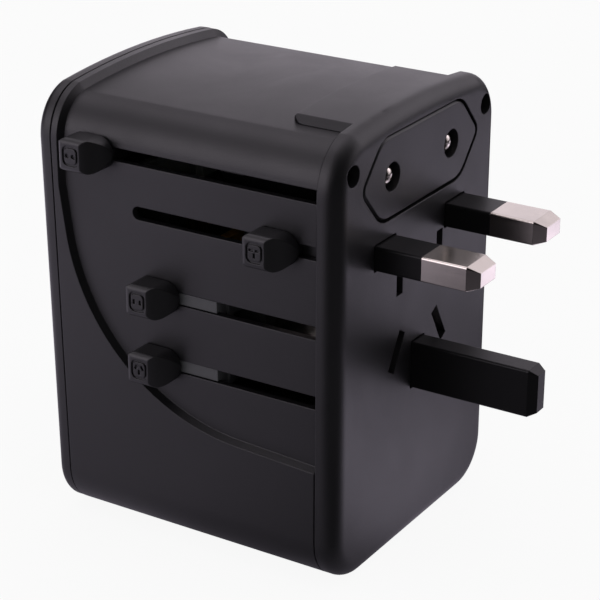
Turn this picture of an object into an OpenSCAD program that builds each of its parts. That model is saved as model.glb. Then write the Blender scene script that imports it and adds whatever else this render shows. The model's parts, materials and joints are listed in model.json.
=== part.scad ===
// Universal travel adapter: a moulded case with four sliding plug sets, a rear socket and a port end.
// The plug pins point along +X, the thumb sliders are on the -Y side and the port end rests on Z = 0.
// The drawn state has the British pins out and the other three plug sets drawn in.

/* [Case] */
// Depth from the socket face to the plug face
body_depth = 55.2; // [55:0.1:62]
// Width from the slider side to the plain side
body_width = 50; // [49:0.5:58]
// Height from the port end to the top of the crown
body_height = 74.3; // [74:0.1:84]
// Radius of the gentle crown across the top
crown_radius = 170; // [140:5:260]
// Corner radius of the outline seen from the plug face
corner_radius = 8.2; // [7:0.1:9]
// Fillet round the plug face
face_fillet = 2.6; // [1:0.1:3.2]
// Fillet round the socket face
rear_fillet = 1.5; // [1:0.1:2.2]
// Lean of the socket face, which makes the case shorter at its port end, in degrees
rear_lean = 1; // [0:0.1:1.2]
// Depth of the plug-side cover
front_cover_depth = 3.7; // [3.6:0.1:4.4]
// Depth of the socket-side cover
rear_cover_depth = 2.6; // [2.5:0.1:3.2]
// Gap that shows as a seam between two case pieces
seam_gap = 0.2; // [0.1:0.05:0.3]
// How far the side and top panels lie below the covers
panel_recess = 1.2; // [0.8:0.1:1.5]
// Wall behind a recessed panel
wall = 1.2; // [1:0.05:1.3]
// Sideways run of the sloped step round the panels
step_slope = 0.65; // [0.3:0.05:1.2]
// Width of the full-height strip beside the socket-side cover
rear_strip = 1.25; // [1:0.05:1.8]

/* [Panel curve] */
// Distance of the curve's rearmost point from the full-height strip
curve_inset = 0.73; // [0.5:0.01:1.2]
// Centre of the curve behind the plug face
curve_back = 16.2; // [15:0.1:18]
// Air between the curve and the rear of the Australian knob
curve_gap = 0.62; // [0.5:0.02:0.8]
// Lean of the straight edge above the curve, in degrees
curve_lean = 8; // [4:0.5:12]
// Fall of the straight edge in front of the curve, in degrees
curve_fall = 3.3; // [1:0.1:6]

/* [Top tongue] */
// Width of the tongue of the plug-side cover over the top panel
tongue_width = 29.4; // [24:0.2:30]
// Length of the tongue
tongue_length = 9.6; // [6:0.1:14]
// Corner radius at the tongue's free end
tongue_radius = 3; // [2:0.1:4.5]

/* [Cover screws] */
// Distance between the two cover screws
screw_spacing = 41.6; // [41:0.1:42]
// Distance of the screws below the top
screw_from_top = 6.4; // [6.2:0.1:6.6]
// Bore over the screw heads
screw_bore_d = 3.4; // [3:0.1:3.8]
// Clearance round a screw head
screw_head_gap = 0.1; // [0.05:0.05:0.2]
// Depth of the heads below the plug face
screw_head_depth = 1.5; // [1:0.1:1.8]
// Height of a screw head
screw_head_h = 1.2; // [0.8:0.1:1.4]
// Diameter of a screw shank
screw_d = 2; // [1.8:0.1:2.2]
// Length of a screw below its head
screw_length = 12; // [8:0.5:14]
// Width of the cross recess in a screw head
screw_slot_w = 0.5; // [0.4:0.05:0.6]
// Depth of the cross recess
screw_slot_depth = 0.6; // [0.4:0.1:0.7]
// Clearance round a screw shank
screw_gap = 0.02; // [0.01:0.01:0.05]
// Wall of the boss round a screw shank
boss_wall = 1; // [0.8:0.05:1.05]

/* [Euro plug] */
// Distance of the pin row below the top
eu_row_from_top = 9.8; // [9.6:0.1:10.8]
// Width of the six-sided block across its points
eu_width = 35.5; // [34.5:0.1:35.8]
// Height of the block across its flats
eu_height = 13; // [12.6:0.1:13.4]
// Length of the block's upper and lower flats
eu_flat = 25.6; // [24.4:0.1:26]
// Radius of the block's upper and lower corners
eu_corner = 5; // [4:0.1:5.4]
// Radius of the block's two side corners
eu_side_corner = 1.7; // [1.6:0.1:2.4]
// Chamfer round the block's face
eu_chamfer = 0.35; // [0.2:0.05:0.6]
// Gap all round the block in the plug-side cover
eu_gap = 0.35; // [0.25:0.05:0.4]
// Length of the block
eu_block_length = 26; // [24:0.5:27]
// Side wall of the block
eu_block_wall = 1.4; // [1.2:0.1:1.6]
// Thickness of the block's face
eu_face_t = 4; // [3.6:0.1:4.2]
// Distance between the pins
eu_pin_spacing = 18.6; // [18:0.1:19]
// Diameter of a pin
eu_pin_d = 4; // [3.8:0.05:4.2]
// Length of a pin outside the block when it is out
eu_pin_length = 19; // [18:0.1:19.5]
// Depth of the pin tips below the block's face at rest
eu_pin_recess = 0.3; // [0.2:0.1:1.5]
// Clearance round a pin in the block's face
eu_hole_gap = 0.3; // [0.2:0.05:0.4]
// Length of the insulating sleeve on a pin
eu_sleeve_length = 10; // [8:0.5:11]
// Thickness of the insulating sleeve
eu_sleeve_t = 0.5; // [0.4:0.05:0.7]

/* [British plug] */
// Distance of the line and neutral row below the Euro row
uk_row_drop = 11.6; // [11.4:0.1:11.9]
// Distance between the line and neutral pins
uk_pin_spacing = 22.2; // [22:0.1:22.4]
// Width of a line or neutral pin
uk_pin_w = 6.35; // [6.2:0.05:6.5]
// Thickness of a line or neutral pin
uk_pin_t = 3.97; // [3.8:0.01:4.1]
// Length of the line and neutral pins outside the face
uk_pin_length = 17.4; // [17:0.1:18.2]
// Length of the black sleeve outside the face
uk_sleeve_length = 7.9; // [7:0.1:9]
// Thickness of the sleeve
uk_sleeve_t = 0.8; // [0.6:0.05:1]
// Distance of the earth pin below the line and neutral row
uk_earth_drop = 22.2; // [22:0.1:22.4]
// Width of the earth pin
uk_earth_w = 3.97; // [3.8:0.01:4.1]
// Height of the earth pin
uk_earth_h = 7.92; // [7.7:0.01:8]
// Length of the earth pin outside the face
uk_earth_length = 21.8; // [21:0.1:22.9]
// Length of the bevelled tip of a line or neutral pin
uk_tip_length = 2; // [1.5:0.1:3]
// Length of the bevelled tip of the earth pin
uk_earth_tip_length = 1.4; // [1:0.1:2]
// How much a British pin narrows at its tip on each side
uk_tip_bevel = 0.8; // [0.5:0.05:1]
// Corner radius of the British pins
uk_pin_corner = 0.35; // [0.2:0.05:0.5]
// Travel of the British plug set
uk_travel = 23; // [22.9:0.1:23.3]

/* [American plug] */
// Distance of the blade row below the line and neutral row
us_row_drop = 5.25; // [5.2:0.05:5.6]
// Distance between the blades
us_spacing = 12.7; // [12.5:0.1:12.9]
// Thickness of a blade
us_blade_t = 1.5; // [1.4:0.05:1.6]
// Width of a blade
us_blade_w = 6.35; // [6.1:0.05:6.5]

/* [Australian plug] */
// Distance of the blade row above the earth pin
au_row_rise = 4.1; // [3.9:0.1:4.3]
// Distance between the blade centres
au_spacing = 13.72; // [13.5:0.02:14]
// Thickness of a blade
au_blade_t = 1.6; // [1.5:0.05:1.7]
// Width of a blade
au_blade_w = 6.4; // [6.2:0.05:6.6]
// Lean of the blades from upright, in degrees
au_lean = 30; // [28:1:32]

/* [Blades] */
// Length of the American and Australian blades outside the face when they are out
blade_length = 17; // [16:0.1:17.5]
// Depth of the blade tips below the face at rest
blade_recess = 1; // [0.6:0.1:1.4]
// Bevel at the blade tips
blade_bevel = 0.5; // [0.3:0.05:0.6]
// Clearance round a pin or blade in the plug-side cover
pin_gap = 0.2; // [0.15:0.05:0.25]

/* [Sliders] */
// Height of the slots in the side panel
slot_height = 2.2; // [1.8:0.1:2.4]
// Height of the Euro slot above its pin row
eu_slot_rise = 0.25; // [0:0.05:0.3]
// Height of the British slot above its pin row
uk_slot_rise = 3; // [2.6:0.1:3.1]
// Depth of the American slot below its blade row
us_slot_drop = 4.45; // [4.2:0.05:4.8]
// Depth of the Australian slot below its blade row
au_slot_drop = 3.1; // [2.8:0.1:3.4]
// Distance of the Euro knob from the socket face
eu_knob_from_rear = 6.7; // [6.6:0.1:7.5]
// Distance of the rear of the British knob from the plug face
uk_knob_from_face = 14.9; // [14:0.1:16]
// Distance of the rear of the blade knobs from the plug face
blade_knob_from_face = 36.6; // [36:0.1:37]
// Length of the slider strip that shows in front of a blade knob
strip_length = 6.5; // [4:0.1:6.7]
// Length of a knob along its slot
knob_length = 7.7; // [7:0.1:8.8]
// Length of a knob's flat face
knob_face = 4.2; // [3.8:0.1:4.8]
// Height of a knob across its slot
knob_height = 5.4; // [4.8:0.1:6]
// How far a knob stands out of the panel
knob_proud = 4.5; // [3.6:0.1:5.5]
// Radius of the curve from a knob's face down to its front end
knob_nose_radius = 6.6; // [4:0.1:9]
// Height of the upright lip at a knob's front end
knob_lip = 0.4; // [0.3:0.1:1]
// Fillet round a knob's thumb face
knob_fillet = 0.9; // [0.5:0.1:1.2]
// Radius of a knob's two rear corners
knob_corner = 1.6; // [1:0.1:2]
// Thickness of the slider plates behind the panel
plate_t = 1.5; // [1.2:0.1:1.7]
// Height of the slider plates
plate_h = 3.2; // [2.8:0.1:3.4]
// Depth of the slider plates' middle below their slots
plate_drop = 0.8; // [0.7:0.05:1]
// Clearance between a slider and what it slides along
slide_gap = 0.3; // [0.2:0.05:0.35]
// Depth of a slider strip below the panel
stem_sink = 0.25; // [0.1:0.05:0.4]
// Distance of a stem from the ends of its knob
stem_inset = 0.5; // [0.4:0.1:0.8]
// Length of the peg that holds a knob
peg_length = 3; // [2:0.1:4]
// Depth of the peg in its knob
peg_depth = 1.2; // [0.8:0.1:1.6]
// Length of the carriage bars along their travel
bar_t = 5; // [4:0.1:5.2]

/* [Knob marks] */
// Depth of the marks cut into the knobs
mark_depth = 0.25; // [0.15:0.05:0.4]
// Width of the strokes of a mark
mark_stroke = 0.4; // [0.3:0.05:0.5]
// Length of the strokes of a mark
mark_length = 0.8; // [0.6:0.05:0.9]
// Distance between the two like strokes of a mark
mark_spread = 1.15; // [0.9:0.05:1.2]
// Diameter of the dots of a mark
mark_dot_d = 0.75; // [0.5:0.05:0.8]
// Distance of a mark's frame from the edge of the flat face
mark_margin = 0.15; // [0.1:0.05:0.3]
// Corner radius of a mark's frame
mark_corner = 1; // [0.7:0.1:1.3]

/* [Carriages] */
// Air between two plug sets that pass each other
set_gap = 0.45; // [0.35:0.05:0.5]
// Plastic round a pin in its carriage
pin_grip = 0.8; // [0.6:0.1:1]
// Plastic beside a blade in its carriage
blade_grip = 1.8; // [1.4:0.1:2]
// Thickness of the Euro carriage plate
eu_plate_t = 3.2; // [2.5:0.1:3.4]
// Height of the Euro carriage plate
eu_plate_h = 6.4; // [6:0.1:6.6]
// Width of the Euro carriage beam
eu_beam_w = 3.2; // [2.4:0.1:3.4]
// Height of the Euro carriage beam
eu_beam_h = 2.4; // [2:0.1:2.5]
// How far the stop of the Euro block stands out of its side
eu_stop_w = 2.2; // [1.5:0.1:2.4]
// Width of the British carriage column
uk_column_w = 4.5; // [3.5:0.1:5]

/* [Rear socket] */
// Distance of the contact row below the top
socket_row_from_top = 22.3; // [22:0.1:22.8]
// Clearance round a British pin in the socket
socket_gap = 0.45; // [0.4:0.05:0.6]
// Depth of the socket's entry holes
socket_hole_depth = 4.6; // [4.5:0.1:5]
// Thickness of the shutter
shutter_t = 1.6; // [1.2:0.1:2]
// Wall of the carrier behind the socket
carrier_wall = 1.5; // [1.2:0.1:1.8]
// Thickness of the contact metal
contact_t = 0.6; // [0.5:0.05:0.8]
// Rim of the shutter round the entry holes
shutter_lap = 0.4; // [0.3:0.05:0.6]
// Width of the ramps on the shutter
ramp_w = 4; // [3:0.1:5]
// Depth of the ramps on the shutter
ramp_t = 2.4; // [1.5:0.1:2.6]
// Plastic round the entry holes behind the cover
socket_rim = 1.1; // [0.9:0.05:1.3]
// Air between the carrier and the drawn-in British set
carrier_room = 3.2; // [3:0.1:3.4]
// Air between the shutter's ramps and the contact jaws
jaw_room = 0.6; // [0.4:0.1:1]
// Bite of the contact jaws on a British pin
jaw_bite = 0.3; // [0.2:0.05:0.4]
// Height of the contact risers
riser_h = 14; // [12:0.5:14.5]
// Width of the contact risers
riser_w = 6; // [5:0.1:6.5]
// Width of the overload protector
fuse_w = 8; // [6:0.1:9]
// Height of the overload protector
fuse_h = 8; // [6:0.1:9]
// Thickness of the overload protector
fuse_t = 1.8; // [1.4:0.1:2]
// Height of the seat below a shutter spring
spring_seat = 1.2; // [1:0.1:1.6]
// Wire diameter of the shutter springs
spring_wire_d = 0.5; // [0.4:0.05:0.6]
// Middle diameter of the shutter springs
spring_d = 3; // [2.6:0.1:3.2]
// Turns of each shutter spring
spring_turns = 9; // [7:1:12]

/* [Ports] */
// Distance between neighbouring ports
port_pitch = 9.5; // [9.2:0.1:10]
// Width of a small reversible port
usb_c_w = 8.94; // [8.9:0.01:9]
// Height of a small reversible port
usb_c_h = 3.26; // [3.2:0.01:3.3]
// Width of a flat rectangular port
usb_a_w = 13.1; // [13:0.1:13.3]
// Height of a flat rectangular port
usb_a_h = 5.7; // [5.6:0.1:5.9]
// Sheet thickness of the port shells
shell_t = 0.3; // [0.25:0.05:0.4]
// Depth of the port mouths below the end face
port_recess = 0.6; // [0.4:0.1:1]
// Clearance round a port shell in the case
port_gap = 0.25; // [0.15:0.05:0.3]
// Corner radius of a flat rectangular port
port_corner = 0.5; // [0.4:0.05:0.6]
// Height of the plastic block inside a port
insert_base = 3.4; // [3:0.1:4]
// Thickness of the tongue in a small reversible port
usb_c_tongue = 0.7; // [0.6:0.05:0.8]
// Thickness of the tongue in a flat rectangular port
usb_a_tongue = 1.84; // [1.8:0.02:2]

/* [Ribs and lugs] */
// Height of the ribs inside the housing
rib_t = 1.2; // [1:0.1:1.4]
// Reach of the ribs that carry the board and the divider
rib_w = 2.2; // [1.6:0.1:2.6]
// Distance of the lugs of the plug-side cover from the middle
lug_y = 11; // [8:0.5:12]
// Width of a lug
lug_w = 6; // [4:0.5:7]
// Thickness of a lug
lug_h = 1.3; // [1:0.1:1.6]
// Length of a lug
lug_length = 3.4; // [2.5:0.1:3.6]
// Depth of the ring of the socket-side cover
ring_depth = 1.6; // [1.2:0.1:1.8]
// Thickness of the ring
ring_t = 1.1; // [0.9:0.1:1.3]
// Clearance round the lugs and the ring
ring_gap = 0.1; // [0.05:0.05:0.2]

/* [Charger] */
// Thickness of the divider above the charger
divider_t = 0.8; // [0.6:0.1:1]
// Air between the divider and the British set
divider_gap = 0.8; // [0.5:0.1:0.9]
// Distance of the board and the divider from the ends of the housing
board_margin = 4; // [3.8:0.1:5]
// Height of the board above the end face
board_z = 11; // [10.5:0.1:11.5]
// Thickness of the board
board_t = 1.2; // [1:0.1:1.6]
// Width of the transformer across its core
transformer_w = 19; // [17:0.5:20]
// Depth of the transformer core
transformer_d = 11; // [9:0.5:13]
// Air above the transformer
transformer_air = 2; // [1.5:0.1:2.5]
// Diameter of a bulk capacitor
capacitor_d = 8; // [7:0.5:9]
// Air above the bulk capacitors
capacitor_air = 1.8; // [1.5:0.1:2.5]
// Outer diameter of the filter choke
choke_d = 10; // [9:0.5:11]
// Ring width of the filter choke
choke_ring = 2.6; // [2:0.1:3]
// Clearance between the winding and the core
winding_gap = 0.1; // [0.05:0.05:0.15]

/* [Hidden] */
$fn = 48;
curve_sides = 128;
crown_sides = 720;
// How far the corner rounds reach past the crown that trims them
crown_trim = 0.06;

// Colours of the finishes
case_color = [0.13, 0.13, 0.14];
knob_color = [0.16, 0.16, 0.17];
slider_color = [0.45, 0.45, 0.47];
inner_color = [0.8, 0.8, 0.76];
pin_color = [0.8, 0.77, 0.72];
sleeve_color = [0.08, 0.08, 0.09];
brass_color = [0.78, 0.62, 0.3];
steel_color = [0.7, 0.71, 0.73];
board_color = [0.1, 0.35, 0.2];
tape_color = [0.85, 0.65, 0.15];
ferrite_color = [0.2, 0.2, 0.22];
can_color = [0.15, 0.18, 0.3];

// A cut runs past the face that it opens by this much
over = 1;
// Pieces that are assembled face to face keep this much air
fit_gap = 0.05;

// Case planes
plug_x = body_depth / 2;
rear_x = -body_depth / 2;
cover_x = plug_x - front_cover_depth;
housing_front_x = cover_x - seam_gap;
rear_cover_x = rear_x + rear_cover_depth;
housing_rear_x = rear_cover_x + seam_gap;
panel_y = body_width / 2 - panel_recess;
cavity_y = panel_y - wall;
cavity_inset = panel_recess + wall;
top_panel_z = body_height - panel_recess;
corner_y = body_width / 2 - corner_radius;
crown_z = body_height - crown_radius;
corner_z = crown_z + sqrt(pow(crown_radius - corner_radius + crown_trim, 2) - pow(corner_y, 2));
crown_y = corner_y * crown_radius / (crown_radius - corner_radius);
floor_z = cavity_inset;

// Heights of the plug rows
eu_z = body_height - eu_row_from_top;
uk_z = eu_z - uk_row_drop;
us_z = uk_z - us_row_drop;
earth_z = uk_z - uk_earth_drop;
au_z = earth_z + au_row_rise;
earth_top = earth_z + uk_earth_h / 2;

// Slider planes on the -Y side
plate_out_y = cavity_y - slide_gap;
plate_in_y = plate_out_y - plate_t;
knob_low_y = panel_y + slide_gap;
knob_top_y = panel_y + knob_proud;
stem_h = slot_height - slide_gap;

// Slots and knobs, with each knob's rear end at rest
eu_slot_z = eu_z + eu_slot_rise;
uk_slot_z = uk_z + uk_slot_rise;
us_slot_z = us_z - us_slot_drop;
au_slot_z = au_z - au_slot_drop;
eu_knob_x = rear_x + eu_knob_from_rear;
uk_knob_x = plug_x - uk_knob_from_face;
blade_knob_x = plug_x - blade_knob_from_face;
stem_length = knob_length - 2 * stem_inset;
strip_end_x = blade_knob_x + knob_length + strip_length;

// Curve of the panels, set by the strip behind it and the knob beside it
panel_rear_x = housing_rear_x + rear_strip + step_slope / 2;
curve_x = plug_x - curve_back;
curve_radius = curve_x - panel_rear_x - curve_inset;
curve_height = au_slot_z - knob_height / 2
  + sqrt(pow(curve_radius - curve_gap, 2) - pow(curve_x - blade_knob_x, 2));

// Travels
eu_pin_travel = eu_pin_length + eu_pin_recess;
eu_block_travel = housing_front_x - slide_gap - eu_knob_x - knob_length - eu_pin_travel;
blade_travel = blade_length + blade_recess;

// Carriage places along the travel
bar_front_x = cover_x - slide_gap;
uk_bar_rear_x = bar_front_x - bar_t;
blade_bar_front_x = bar_front_x - blade_travel;
blade_bar_rear_x = blade_bar_front_x - bar_t;
eu_block_rear_x = plug_x - eu_block_length;
eu_plate_front_x = plug_x - eu_face_t - slide_gap - eu_pin_travel;
eu_plate_rear_x = eu_plate_front_x - eu_plate_t;

// Euro carriage, which stays inside the block's cross section in front of its arm
eu_plate_w = eu_pin_spacing + eu_pin_d + 2 * pin_grip;
eu_beam_y = eu_pin_spacing / 2 + pin_grip;
eu_beam_z = eu_slot_z - plate_drop + (plate_h - eu_beam_h) / 2;
eu_arm_front_x = eu_knob_x + knob_length - stem_inset;

// British carriage, which passes round the blade sets on the +Y side
uk_core_w = uk_pin_w - 2 * uk_sleeve_t;
uk_core_t = uk_pin_t - 2 * uk_sleeve_t;
uk_bar_low_z = us_z + us_blade_w / 2 + set_gap;
uk_bar_top_z = uk_z + uk_core_t / 2 + 2 * pin_grip;
uk_bar_end_y = uk_pin_spacing / 2 + uk_core_w / 2 + 2 * pin_grip;
uk_foot_low_z = earth_z - uk_earth_h / 2 - pin_grip;
uk_foot_top_z = earth_z - set_gap;
uk_foot_end_y = uk_earth_w / 2 + pin_grip;

// American and Australian carriages
us_bar_y = us_spacing / 2 + us_blade_t / 2 + blade_grip;
us_bar_low_z = us_z - us_blade_w / 2 - pin_grip;
us_bar_top_z = us_z + us_blade_w / 2 - pin_grip;
au_bar_y = au_spacing / 2 + au_blade_w / 2 * sin(au_lean) + blade_grip;
au_bar_low_z = au_z - au_blade_w / 2 - set_gap;
au_bar_top_z = au_z + au_blade_w / 2 + pin_grip;
au_gate_y = uk_earth_w / 2 + set_gap;
au_gate_z = earth_top + set_gap;

// Rear socket
socket_z = body_height - socket_row_from_top;
socket_earth_z = socket_z - uk_earth_drop;
socket_pin_w = uk_pin_w + 2 * socket_gap;
socket_pin_t = uk_pin_t + 2 * socket_gap;
socket_earth_w = uk_earth_w + 2 * socket_gap;
socket_earth_h = uk_earth_h + 2 * socket_gap;
socket_blade_t = us_blade_t + 2 * pin_gap;
socket_blade_w = us_blade_w + 3 * socket_gap;
socket_pin_d = eu_pin_d + 2 * socket_gap;
socket_boss_y = uk_pin_spacing / 2 + socket_pin_w / 2 + socket_rim;
socket_boss_h = socket_blade_w + 2 * socket_rim;
socket_boss_x = rear_x + socket_hole_depth;
shutter_x = socket_boss_x + slide_gap;
shutter_y = socket_boss_y;
shutter_h = socket_blade_w + 2 * shutter_lap;
shutter_low_z = socket_z - shutter_h / 2;
carrier_in_y = shutter_y + slide_gap;
carrier_y = carrier_in_y + carrier_wall;
carrier_front_x = uk_bar_rear_x - uk_travel - carrier_room;
carrier_plate_x = carrier_front_x - carrier_wall;
carrier_rear_x = socket_boss_x;
carrier_top_z = shutter_low_z + shutter_h + slide_gap;
jaw_x = shutter_x + shutter_t + ramp_t + jaw_room;
jaw_gap = uk_pin_t - jaw_bite;
jaw_y = us_spacing / 2 - us_blade_t / 2;
jaw_end_y = uk_pin_spacing / 2 + uk_pin_w / 2;
jaw_mid_y = (jaw_y + jaw_end_y) / 2;

// Divider, board and what stands on them
divider_top_z = uk_foot_low_z - divider_gap;
divider_low_z = divider_top_z - divider_t;
board_y = cavity_y - fit_gap;
board_x = housing_rear_x + board_margin;
board_end_x = housing_front_x - board_margin;
board_top_z = board_z + board_t;
port_count = 4;
port_y = [for (i = [0:port_count - 1]) (i - (port_count - 1) / 2) * port_pitch];
charger_room = divider_low_z - board_top_z;
transformer_h = charger_room - transformer_air;
core_leg = transformer_w / 3;
core_side = transformer_w / 8;
core_window = (transformer_w - core_leg) / 2 - core_side;
core_t = transformer_h * 2 / 7;
transformer_x = board_end_x - transformer_d / 2 - core_window - over;
transformer_y = board_y - transformer_w / 2 - rib_w;
capacitor_h = charger_room - capacitor_air;
capacitor_x = board_end_x - capacitor_d / 2 - over;
capacitor_y = -board_y + capacitor_d / 2 + rib_w;
choke_t = charger_room / 3;
choke_x = board_x + choke_d / 2 + over;
choke_y = board_y - choke_d / 2 - rib_w;

// Shutter springs beside the earth hole
spring_y = carrier_in_y - spring_d / 2 - spring_wire_d - slide_gap;
spring_low_z = divider_top_z + spring_seat;
spring_rings = 8;
spring_sides = 6;

// Places a box between two opposite corners
module box(low, high) {
  translate(low)
    cube(high - low);
}

// Turns a solid drawn along +Z so that it points along +X, with its own X along Y
module along_x() {
  rotate([90, 0, 90])
    children();
}

// Extrudes an outline drawn in Y and Z from one X to another
module yz_prism(x0, x1) {
  translate([x0, 0, 0])
    along_x()
      linear_extrude(x1 - x0)
        children();
}

// Extrudes an outline drawn in X and Z from one Y to another
module xz_prism(y0, y1) {
  translate([0, y1, 0])
    rotate([90, 0, 0])
      linear_extrude(y1 - y0)
        children();
}

// Rectangle with true round corners, centred
module rounded_rect(w, h, r) {
  square([w - 2 * r, h], center = true);
  square([w, h - 2 * r], center = true);
  for (x = [-1, 1], y = [-1, 1])
    translate([x * (w / 2 - r), y * (h / 2 - r)])
      circle(r);
}

// Case outline in Y and Z with its crowned top, drawn in by an inset
module case_outline(inset = 0) {
  r = corner_radius - inset;
  intersection() {
    union() {
      translate([-crown_y, inset + r])
        square([2 * crown_y, body_height]);
      translate([-corner_y, inset])
        square([2 * corner_y, body_height / 2]);
      translate([-corner_y - r, corner_radius])
        square([2 * (corner_y + r), corner_z - corner_radius]);
      for (side = [-1, 1], z = [corner_radius, corner_z])
        translate([side * corner_y, z])
          circle(r);
    }
    translate([0, crown_z])
      circle(crown_radius - inset, $fn = crown_sides);
  }
}

// Half section of a cover's edge, with its outer corner rounded
module edge_profile(run, depth, fillet) {
  difference() {
    square([run, depth]);
    translate([run - fillet, depth - fillet])
      difference() {
        square(fillet + over);
        circle(fillet);
      }
  }
}

// Solid cover with the case outline and a fillet round its outer face, standing on Z = 0
module filleted_cover(depth, fillet) {
  r = corner_radius;
  intersection() {
    union() {
      translate([-crown_y, r, 0])
        cube([2 * crown_y, body_height, depth]);
      for (corner = [[1, corner_z, 0], [-1, corner_z, 90], [-1, r, 180], [1, r, 270]])
        translate([corner[0] * corner_y, corner[1], 0])
          rotate(corner[2])
            rotate_extrude(angle = 90)
              edge_profile(r, depth, fillet);
      for (edge = [[corner_y, corner_z, 0, corner_z - r], [corner_y, r, -90, 2 * corner_y],
                   [-corner_y, r, 180, corner_z - r]])
        translate([edge[0], edge[1], 0])
          rotate([90, 0, edge[2]])
            linear_extrude(edge[3])
              edge_profile(r, depth, fillet);
    }
    translate([0, crown_z, 0])
      rotate_extrude($fn = crown_sides)
        edge_profile(crown_radius, depth, fillet);
  }
}

// Six-sided outline of the Euro block in Y and Z, grown by an amount
module eu_outline(grow = 0) {
  translate([0, eu_z])
    hull()
      for (side = [-1, 1]) {
        translate([side * (eu_width / 2 - eu_side_corner), 0])
          circle(eu_side_corner + grow);
        for (level = [-1, 1])
          translate([side * (eu_flat / 2 - eu_corner / 2), level * (eu_height / 2 - eu_corner)])
            circle(eu_corner + grow);
      }
}

// Outlines of the pins and blades in Y and Z, grown by an amount
module uk_pin_outline(side, grow = 0) {
  translate([side * uk_pin_spacing / 2, uk_z])
    rounded_rect(uk_pin_w + 2 * grow, uk_pin_t + 2 * grow, uk_pin_corner);
}

module uk_core_outline(side, grow = 0) {
  translate([side * uk_pin_spacing / 2, uk_z])
    square([uk_core_w + 2 * grow, uk_core_t + 2 * grow], center = true);
}

module uk_earth_outline(grow = 0) {
  translate([0, earth_z])
    rounded_rect(uk_earth_w + 2 * grow, uk_earth_h + 2 * grow, uk_pin_corner);
}

module us_blade_outline(side, grow = 0) {
  translate([side * us_spacing / 2, us_z])
    square([us_blade_t + 2 * grow, us_blade_w + 2 * grow], center = true);
}

module au_blade_outline(side, grow = 0) {
  translate([side * au_spacing / 2, au_z])
    rotate(side * au_lean)
      square([au_blade_t + 2 * grow, au_blade_w + 2 * grow], center = true);
}

// Panel area in X and Z above the curved step, with true arcs, grown by an amount
module panel_area(grow = 0) {
  r = curve_radius + grow;
  cx = curve_x;
  cz = curve_height;
  left_x = panel_rear_x - grow;
  rear_tangent = [cx - r * cos(curve_lean), cz - r * sin(curve_lean)];
  front_tangent = [cx - r * sin(curve_fall), cz - r * cos(curve_fall)];
  lean_z = rear_tangent[1] + (rear_tangent[0] - left_x) / tan(curve_lean);
  end_x = housing_front_x + over;
  end_z = front_tangent[1] - (end_x - front_tangent[0]) * tan(curve_fall);
  top_z = body_height + over;
  intersection() {
    translate([left_x, 0])
      square([end_x - left_x, top_z]);
    union() {
      translate([cx, cz])
        circle(r, $fn = curve_sides);
      polygon([rear_tangent, [left_x, lean_z], [left_x, top_z], [end_x, top_z], [end_x, end_z],
               front_tangent, [cx, cz]]);
    }
  }
}

// Sloped step on one side, from the panel out past the case's full width
module panel_step(side) {
  deep_y = panel_y - fit_gap;
  hull()
    for (at = [[deep_y, -step_slope / 2], [body_width / 2 + fit_gap, step_slope / 2]])
      translate([0, side * at[0], 0])
        xz_prism(-fit_gap / 2, fit_gap / 2)
          panel_area(at[1]);
}

// Sunk area of the case: both sides above the curved step, and the top
module panel_cut() {
  difference() {
    union() {
      panel_step(-1);
      panel_step(1);
      box([panel_rear_x - step_slope / 2 - fit_gap, -body_width, corner_z],
          [housing_front_x + over, body_width, body_height + over]);
    }
    yz_prism(rear_x, plug_x)
      case_outline(panel_recess);
    crown_slope();
  }
}

// Same slope over the crown and its two rounded corners: the case outline, drawn in evenly along X
module crown_slope() {
  rate = (panel_recess + 2 * fit_gap) / step_slope;
  lead = 2 * fit_gap;
  length = step_slope + lead;
  proud = fit_gap + lead * rate;
  deep = panel_recess + fit_gap;
  translate([panel_rear_x - step_slope / 2 - lead, 0, 0])
    along_x()
      intersection() {
        translate([-body_width, corner_z, 0])
          cube([2 * body_width, body_height, length]);
        translate([0, crown_z, 0])
          cylinder(r1 = crown_radius + proud, r2 = crown_radius - deep, h = length, $fn = crown_sides);
        union() {
          translate([-crown_y, 0, 0])
            cube([2 * crown_y, body_height + over, length]);
          for (side = [-1, 1])
            translate([side * corner_y, corner_z, 0])
              cylinder(r1 = corner_radius + proud, r2 = corner_radius - deep, h = length);
        }
      }
}

// Slot through the slider-side wall, open at the housing's front end
module slider_slot(z, rear) {
  r = slot_height / 2;
  xz_prism(-body_width / 2 - over, -cavity_y + over)
    translate([rear + r, z]) {
      circle(r);
      translate([0, -r])
        square([housing_front_x + over - rear - r, slot_height]);
    }
}

// Rear end of a slot for a stem that starts at a given place
function slot_rear(stem_x) = stem_x - slide_gap;

// Tongue of the plug-side cover over the top panel, crowned like it and bevelled on three sides
module top_tongue() {
  low = panel_recess - fit_gap;
  rear = cover_x - tongue_length;
  half = tongue_width / 2;
  side_z = crown_z + sqrt(pow(crown_radius, 2) - pow(half, 2));
  turn = asin((half + panel_recess) / (crown_radius - panel_recess));
  run = 2 * panel_recess;
  intersection() {
    translate([0, 0, crown_z])
      along_x()
        rotate(90 - turn)
          rotate_extrude(angle = 2 * turn, $fn = crown_sides)
            polygon([[crown_radius - low, rear - low], [crown_radius - low, cover_x + over],
                     [crown_radius - fit_gap, cover_x + over], [crown_radius - fit_gap, rear - fit_gap]]);
    yz_prism(rear - run, cover_x + over)
      polygon([[-half - run, side_z - run], [half + run, side_z - run], [half - run, side_z + run],
               [run - half, side_z + run]]);
    translate([0, 0, corner_z])
      linear_extrude(body_height)
        tongue_outline(rear - panel_recess, half + panel_recess);
  }
}

// Tongue seen from above, with round corners at its free end
module tongue_outline(rear, half) {
  r = tongue_radius;
  front = cover_x + fit_gap;
  translate([rear + r, -half])
    square([front - rear - r, 2 * half]);
  translate([rear, r - half])
    square([front - rear, 2 * (half - r)]);
  for (side = [-1, 1])
    translate([rear + r, side * (half - r)])
      circle(r);
}

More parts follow.
